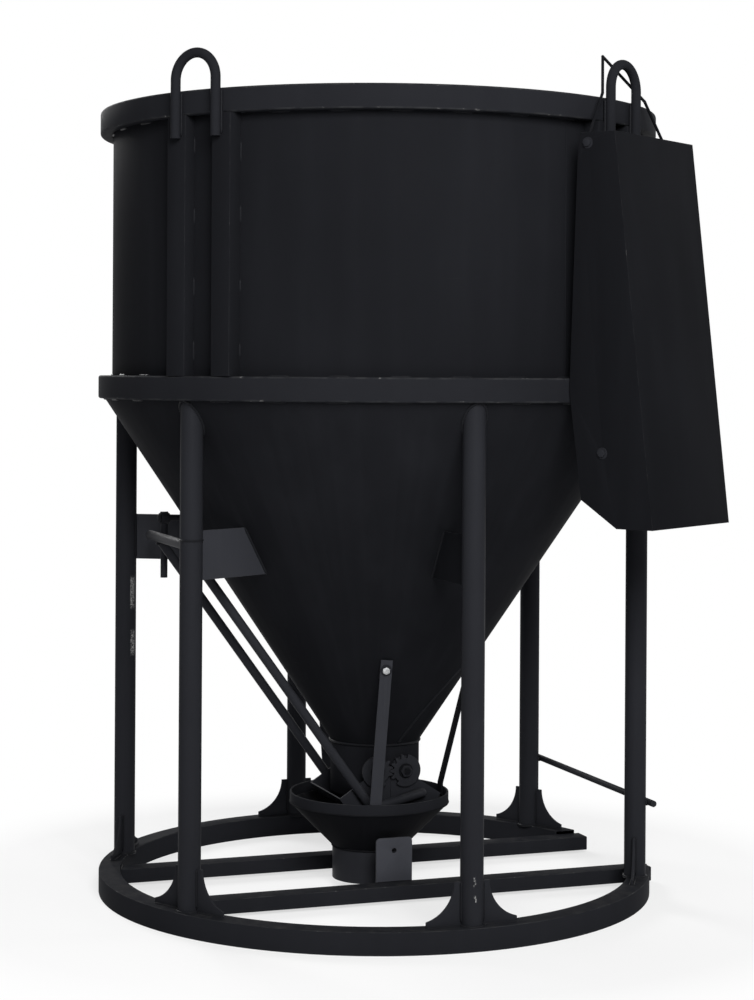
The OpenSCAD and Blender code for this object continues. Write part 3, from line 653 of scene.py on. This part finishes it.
def weld_piece(name, paths, radius, body="frame", paint=weld_paint):
    """One mesh with all the beads of a region, riding a body."""
    bm = bmesh.new()
    for path in paths:
        add_bead(bm, path, radius)
    bmesh.ops.recalc_face_normals(bm, faces=bm.faces)
    for f in bm.faces:
        f.smooth = True
    mesh = bpy.data.meshes.new(name)
    bm.to_mesh(mesh)
    bm.free()
    obj = bpy.data.objects.new(name, mesh)
    scene.collection.objects.link(obj)
    mesh.materials.append(paint)
    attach(obj, body)
    print(name, len(paths), "beads", len(mesh.polygons), "faces")


print("bead tool ready")

# %% [markdown]
# ### Hopper welds
# The bands are only stitched to the shell: a short bead, then a gap. Full rings would be less work here, but they
# would look like a cast edge. The stitches leave out the places that posts and legs cover.

# %% Band stitches
SHELL, BAND_LOW, BAND_TOP, RIM_LOW, CONE_TOP = 0.750, 1.384, 1.448, 2.120, 0.770
LUG_TURNS = [34.5 + 90 * k for k in range(4)]
LEG_TURNS = [30 + 60 * k for k in range(6)]
STITCH_STEP, STITCH_START, STITCH_HALF = 12, 3, 2.2
POST_ROOM, LEG_ROOM = 12, 6


def clear_of(degrees, turns, room):
    """Whether a place on the hopper lies away from all of some angles."""
    return all(abs((degrees - t + 180) % 360 - 180) > room for t in turns)


stitches = []
for at in range(STITCH_START, 360, STITCH_STEP):
    ends = (at - STITCH_HALF, at + STITCH_HALF)
    if clear_of(at, LUG_TURNS, POST_ROOM):
        stitches += [arc(SHELL, *ends, BAND_TOP), arc(SHELL, *ends, RIM_LOW)]
    if clear_of(at, LEG_TURNS, LEG_ROOM):
        stitches.append(arc(CONE_TOP, *ends, BAND_LOW))
weld_piece("band_stitches", stitches, 0.0045)

# %% [markdown]
# The cone is rolled from plate. One seam slants up from the throat and shows as a bead on the lower part. The seams
# that were ground flat could be left out, but a thin line in the shell's own paint still catches some light.

# %% Hopper seams
THROAT, THROAT_TOP = 0.126, 0.417


def cone_radius(z):
    """Outside radius of the hopper cone at a height."""
    return THROAT + (z - THROAT_TOP) * (CONE_TOP - THROAT) / (BAND_LOW - THROAT_TOP)


SEAM_FOOT, SEAM_HEAD, SEAM_TOP = 280, 314, 0.645
BACK_SEAM, SHELL_SEAM, SEAM_STEPS = 110, 291, 12
slant = []
for k in range(SEAM_STEPS + 1):
    z = THROAT_TOP + 0.003 + (SEAM_TOP - THROAT_TOP) * k / SEAM_STEPS
    slant.append(polar(cone_radius(z), SEAM_FOOT + (SEAM_HEAD - SEAM_FOOT) * k / SEAM_STEPS, z))
weld_piece("hopper_seams", [arc(THROAT + 0.001, 0, 360, THROAT_TOP), slant], 0.0042)
weld_piece("ground_seams", [
    [polar(THROAT + 0.002, BACK_SEAM, THROAT_TOP + 0.004), polar(CONE_TOP - 0.002, BACK_SEAM, BAND_LOW - 0.006)],
    [polar(SHELL, SHELL_SEAM, BAND_TOP), polar(SHELL, SHELL_SEAM, RIM_LOW)]], 0.0022, paint=shell_paint)

# %% [markdown]
# ### Lug and post welds
# The lugs carry the whole load, so each leg of a lug has a full bead on both sides. The posts are only tacked to the
# shell along their edges. Tacks at even steps would look machined, so their places and lengths are drawn by chance.

# %% Lug and post welds
POST_SIDES, TACKS, TACK_START, TACK_STEP = (0.045, 0.105), 4, 0.05, 0.17
LUG_HALF, LUG_BAR, LUG_OUT, LUG_WELD = 0.067, 0.0105, 0.788, (2.066, 2.180)
posts, lugs = [], []
for turn in LUG_TURNS:
    out = polar(1, turn, 0)
    side = Vector((-out.y, out.x, 0))
    for s in (-1, 1):
        for t in POST_SIDES:
            n = math.sqrt(SHELL ** 2 - t ** 2)
            for k in range(TACKS):
                z = BAND_TOP + TACK_START + TACK_STEP * k + dice.uniform(-0.015, 0.015)
                foot = out * n + side * (s * t)
                posts.append([foot + Vector((0, 0, z)), foot + Vector((0, 0, z + dice.uniform(0.03, 0.055)))])
        for edge in (LUG_HALF - LUG_BAR, LUG_HALF + LUG_BAR):
            foot = out * LUG_OUT + side * (s * edge)
            lugs.append([foot + Vector((0, 0, z)) for z in LUG_WELD])
weld_piece("post_welds", posts, 0.0042)
weld_piece("lug_welds", lugs, 0.0042)

# %% [markdown]
# ### Leg welds
# A leg is welded all round where it meets the cone above and the ring below. A flat ring would do below, but not
# above, where a round tube runs into a cone: there the height of each point of the bead is that of the cone. The foot
# gussets and the braces have a bead along each face, and one leg was spliced from two tubes.

# %% Leg welds
LEG_AXIS, LEG_TUBE, SPLICE_Z = 0.740, 0.030, 1.0215
RING_TOP, FOOT_HEIGHT, FOOT_REACH, HALF_GUSSET = 0.060, 0.112, 0.124, 0.004
BRACE_LOW, BRACE_HIGH, TOP_STEPS = 0.915, 1.045, 36
BRACED = LEG_TURNS[1:5]


def cone_z(radius):
    """Height of the hopper cone's outside at a radius."""
    return THROAT_TOP + (radius - THROAT) * (BAND_LOW - THROAT_TOP) / (CONE_TOP - THROAT)


tops, feet, braces = [], [], []
for turn in LEG_TURNS:
    out = polar(1, turn, 0)
    side = Vector((-out.y, out.x, 0))
    axis = out * LEG_AXIS
    loop = []
    for i in range(TOP_STEPS + 1):
        a = 2 * math.pi * i / TOP_STEPS
        place = axis + (LEG_TUBE + 0.001) * (math.cos(a) * out + math.sin(a) * side)
        loop.append(Vector((place.x, place.y, min(cone_z(math.hypot(place.x, place.y)), BAND_LOW) - 0.001)))
    tops.append(loop)
    feet.append(arc(LEG_TUBE + 0.001, 0, 360, RING_TOP, (axis.x, axis.y)))
    for s in (-1, 1):
        for face in (-HALF_GUSSET, HALF_GUSSET):
            near = axis + side * (s * LEG_TUBE) + out * face
            far = axis + side * (s * FOOT_REACH) + out * face
            feet.append([Vector((near.x, near.y, RING_TOP)), Vector((far.x, far.y, RING_TOP))])
            up = (RING_TOP + 0.008, RING_TOP + FOOT_HEIGHT)
            feet.append([Vector((near.x, near.y, z)) for z in up])
        if turn not in BRACED:
            continue
        face = side * (s * HALF_GUSSET)
        inner = axis - out * (LEG_TUBE - 0.0005) + face
        braces.append([inner + Vector((0, 0, BRACE_LOW)), inner + Vector((0, 0, BRACE_HIGH))])
        braces.append([out * cone_radius(z) + face + Vector((0, 0, z)) for z in (BRACE_LOW, BRACE_HIGH)])
splice = polar(LEG_AXIS, LEG_TURNS[3], 0)
weld_piece("leg_top_welds", tops, 0.0045)
weld_piece("foot_welds", feet, 0.0042)
weld_piece("brace_welds", braces, 0.0042)
weld_piece("leg_splice", [arc(LEG_TUBE, 0, 360, SPLICE_Z, (splice.x, splice.y))], 0.0032)

# %% [markdown]
# ### Base welds
# On the left, the crossbars end against the inside of the ring, and on the right a tie bar crosses two legs. A bead
# all round would be hidden for the most part, so each joint has short beads on the sides that a torch can reach.

# %% Base welds
RING_INNER, BAR_Y, BAR_HALF, BAR_TOP, BAR_LOW = 0.720, 0.216, 0.030, 0.050, 0.010
TIE_Z, TIE_HALF, TIE_REACH, TIE_OUT = 0.264, 0.0065, 0.014, 0.0015
joints = []
for s in (-1, 1):
    ends = [math.degrees(math.asin((BAR_Y + k * BAR_HALF) / RING_INNER)) for k in (-1, 1)]
    joints.append(arc(RING_INNER - 0.001, 180 - s * ends[0], 180 - s * ends[1], BAR_TOP))
    for e in ends:
        place = polar(RING_INNER - 0.001, 180 - s * e, 0)
        joints.append([place + Vector((0, 0, BAR_LOW + 0.002)), place + Vector((0, 0, BAR_TOP))])
    leg = polar(LEG_AXIS, s * LEG_TURNS[0], TIE_Z) + Vector((LEG_TUBE + TIE_OUT, 0, 0))
    for lift in (-TIE_HALF, TIE_HALF):
        joints.append([leg + Vector((0, e * TIE_REACH, lift)) for e in (-1, 1)])
weld_piece("base_welds", joints, 0.0040)

# %% [markdown]
# ### Funnel welds
# The funnel is a rim, a cone and a spout, with a bead at each change of slope. The straps are welded inside the rim,
# and the tabs along their feet on the crossbars. These plates are thin, so the beads are smaller than on the legs,
# and they get the funnel's dark paint to stay as quiet as they are on the real one.

# %% Funnel welds
FUNNEL = (-0.016, 0.0)
FUNNEL_RIM, FUNNEL_LOW, FUNNEL_TOP, SPOUT, SPOUT_TOP = 0.226, 0.240, 0.270, 0.104, 0.117
STRAP_TURNS, STRAP_HALF, STRAP_INSET = (255, 105, 0), 0.016, 0.0058
TAB_FACES, TAB_ENDS = (0.186, 0.192), (-0.062, 0.044)
funnel = [arc(FUNNEL_RIM - 0.001, 0, 360, FUNNEL_LOW, FUNNEL), arc(SPOUT + 0.001, 0, 360, SPOUT_TOP, FUNNEL)]
for turn in STRAP_TURNS:
    for s in (-1, 1):
        at = turn + s * math.degrees(STRAP_HALF / FUNNEL_RIM)
        ends = (FUNNEL_LOW + 0.007, FUNNEL_TOP - 0.002)
        funnel.append([polar(FUNNEL_RIM - STRAP_INSET, at, z, FUNNEL) for z in ends])
for s in (-1, 1):
    for y in TAB_FACES:
        funnel.append([Vector((x, s * y, BAR_TOP)) for x in TAB_ENDS])
weld_piece("funnel_welds", funnel, 0.0028, paint=funnel_paint)

# %% [markdown]
# ### Lever welds
# The hand bar sits across the two arms of the lever, and the arms are welded to the right jaw. Two round bars meet in
# a saddle, so the collar of the bead dips on two sides. A flat ring would cut into the bar. These beads move when the
# gate opens, so this piece rides the right jaw and not the frame.

# %% Lever welds
HAND_X, HAND_Z, ARM_Y, ARM = -0.6011, 0.992, 0.148, 0.013
BEND = Vector((-0.0595, 0, 0.247))
END = Vector((0.088, 0, 0.283))
COLLAR, COLLAR_DIP, COLLAR_STEPS = 0.013, 0.004, 24
ARM_FACE, ARM_SIDE, FOOT_WELD = 0.1365, 0.0085, 0.068
lever = []
for s in (-1, 1):
    top = Vector((HAND_X, s * ARM_Y, HAND_Z))
    along = (Vector((BEND.x, s * ARM_Y, BEND.z)) - top).normalized()
    across = along.cross(Vector((0, 1, 0))).normalized()
    collar = []
    for k in range(COLLAR_STEPS + 1):
        a = 2 * math.pi * k / COLLAR_STEPS
        round_arm = math.cos(a) * Vector((0, 1, 0)) + math.sin(a) * across
        collar.append(top + along * (COLLAR + COLLAR_DIP * abs(math.cos(a))) + (ARM + 0.0005) * round_arm)
    lever.append(collar)
    for lift in (-ARM_SIDE, ARM_SIDE):
        foot = (END - BEND).normalized()
        up = Vector((-foot.z, 0, foot.x)) * lift
        inside = Vector((0, s * ARM_FACE, 0))
        lever.append([END - foot * FOOT_WELD + up + inside, END + up + inside])
weld_piece("lever_welds", lever, 0.0036, "gate_right")

# %% [markdown]
# ## Bolts
# A washer lies under the bolt heads and the gate's nuts. A cylinder with a hole cut into it would do, but the cut
# leaves untidy faces. So a washer is a small profile with a broken edge, turned round the axis of its bolt.

# %% Washer tool
RING_STEPS = 28


def add_ring(bm, middle, axis, inner, outer, thick):
    """Adds a washer with a broken edge, its back at the middle point."""
    axis = axis.normalized()
    side = axis.orthogonal().normalized()
    up = axis.cross(side)
    b = thick * 0.25
    profile = [(inner, 0), (outer - b, 0), (outer, b), (outer, thick - b), (outer - b, thick), (inner, thick)]
    rows = []
    for k in range(RING_STEPS):
        a = 2 * math.pi * k / RING_STEPS
        d = math.cos(a) * side + math.sin(a) * up
        rows.append([bm.verts.new(middle + d * r + axis * h) for r, h in profile])
    for k in range(RING_STEPS):
        p, q = rows[k], rows[(k + 1) % RING_STEPS]
        for i in range(len(profile)):
            j = (i + 1) % len(profile)
            bm.faces.new((p[i], q[i], q[j], p[j]))


def washer_piece(name, rings, body, finish):
    """One mesh with all the washers of a body; a ring is (middle, axis, inner, outer, thickness)."""
    bm = bmesh.new()
    for ring in rings:
        add_ring(bm, *ring)
    bmesh.ops.recalc_face_normals(bm, faces=bm.faces)
    mesh = bpy.data.meshes.new(name)
    bm.to_mesh(mesh)
    bm.free()
    obj = bpy.data.objects.new(name, mesh)
    scene.collection.objects.link(obj)
    mesh.materials.append(finish)
    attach(obj, body)
    print(name, len(rings), "washers")


print("washer tool ready")

# %% [markdown]
# The strap bolts point in three directions. Their places could be typed again, but the solid knows them: the outer
# end of a bolt head is a flat face with six corners, so its middle and its normal give the axis.

# %% Strap washers
HEAD, BORE, THICK, STRAP_WASHER = 0.008, 0.0062, 0.0022, 0.0155


def hexagon_ends(node):
    """Middle and direction of the flat outer end of each bolt head in a node."""
    bm = bmesh.new()
    bm.from_mesh(NODE[node].data)
    bmesh.ops.remove_doubles(bm, verts=bm.verts, dist=1e-5)
    bmesh.ops.dissolve_limit(bm, angle_limit=FLAT, verts=bm.verts, edges=bm.edges)
    ends = [(f.calc_center_median(), f.normal.copy()) for f in bm.faces if len(f.verts) == 6 and f.calc_area() > 2e-4]
    bm.free()
    return ends


strap_rings = [(c - n * HEAD, n, BORE, STRAP_WASHER, THICK) for c, n in hexagon_ends("strap_bolts")]
washer_piece("strap_washers", strap_rings, "frame", leg_paint)

# %% [markdown]
# The chute's bolts and the gate's pins stand square to their plates, so here a radius and a height say enough. The
# chute's washers ride the chute. The gate's washers stay on the frame, because the pins are fixed to the throat.

# %% Chute and gate washers
CHUTE_HALF, CHUTE_WASHER, CHUTE_BOLTS = 0.210, 0.0150, ((0.814, 2.051), (0.862, 1.257))
PIN_END, PIVOT_X, PIVOT_Z, PIN_BORE, PIN_WASHER = 0.1446, 0.041, 0.347, 0.0102, 0.0205
chute_out = polar(1, LUG_TURNS[3], 0)
chute_side = Vector((-chute_out.y, chute_out.x, 0))
chute_rings = []
for n, z in CHUTE_BOLTS:
    for s in (-1, 1):
        middle = chute_out * n + chute_side * (s * CHUTE_HALF) + Vector((0, 0, z))
        chute_rings.append((middle, chute_side * s, BORE, CHUTE_WASHER, THICK))
washer_piece("chute_washers", chute_rings, "chute", leg_paint)
gate_rings = []
for x in (-PIVOT_X, PIVOT_X):
    for s in (-1, 1):
        gate_rings.append((Vector((x, s * PIN_END, PIVOT_Z)), Vector((0, s, 0)), PIN_BORE, PIN_WASHER, THICK))
# The gate's washers take the dark chute coat: painted shade round the pin ends.
washer_piece("gate_washers", gate_rings, "frame", chute_paint)
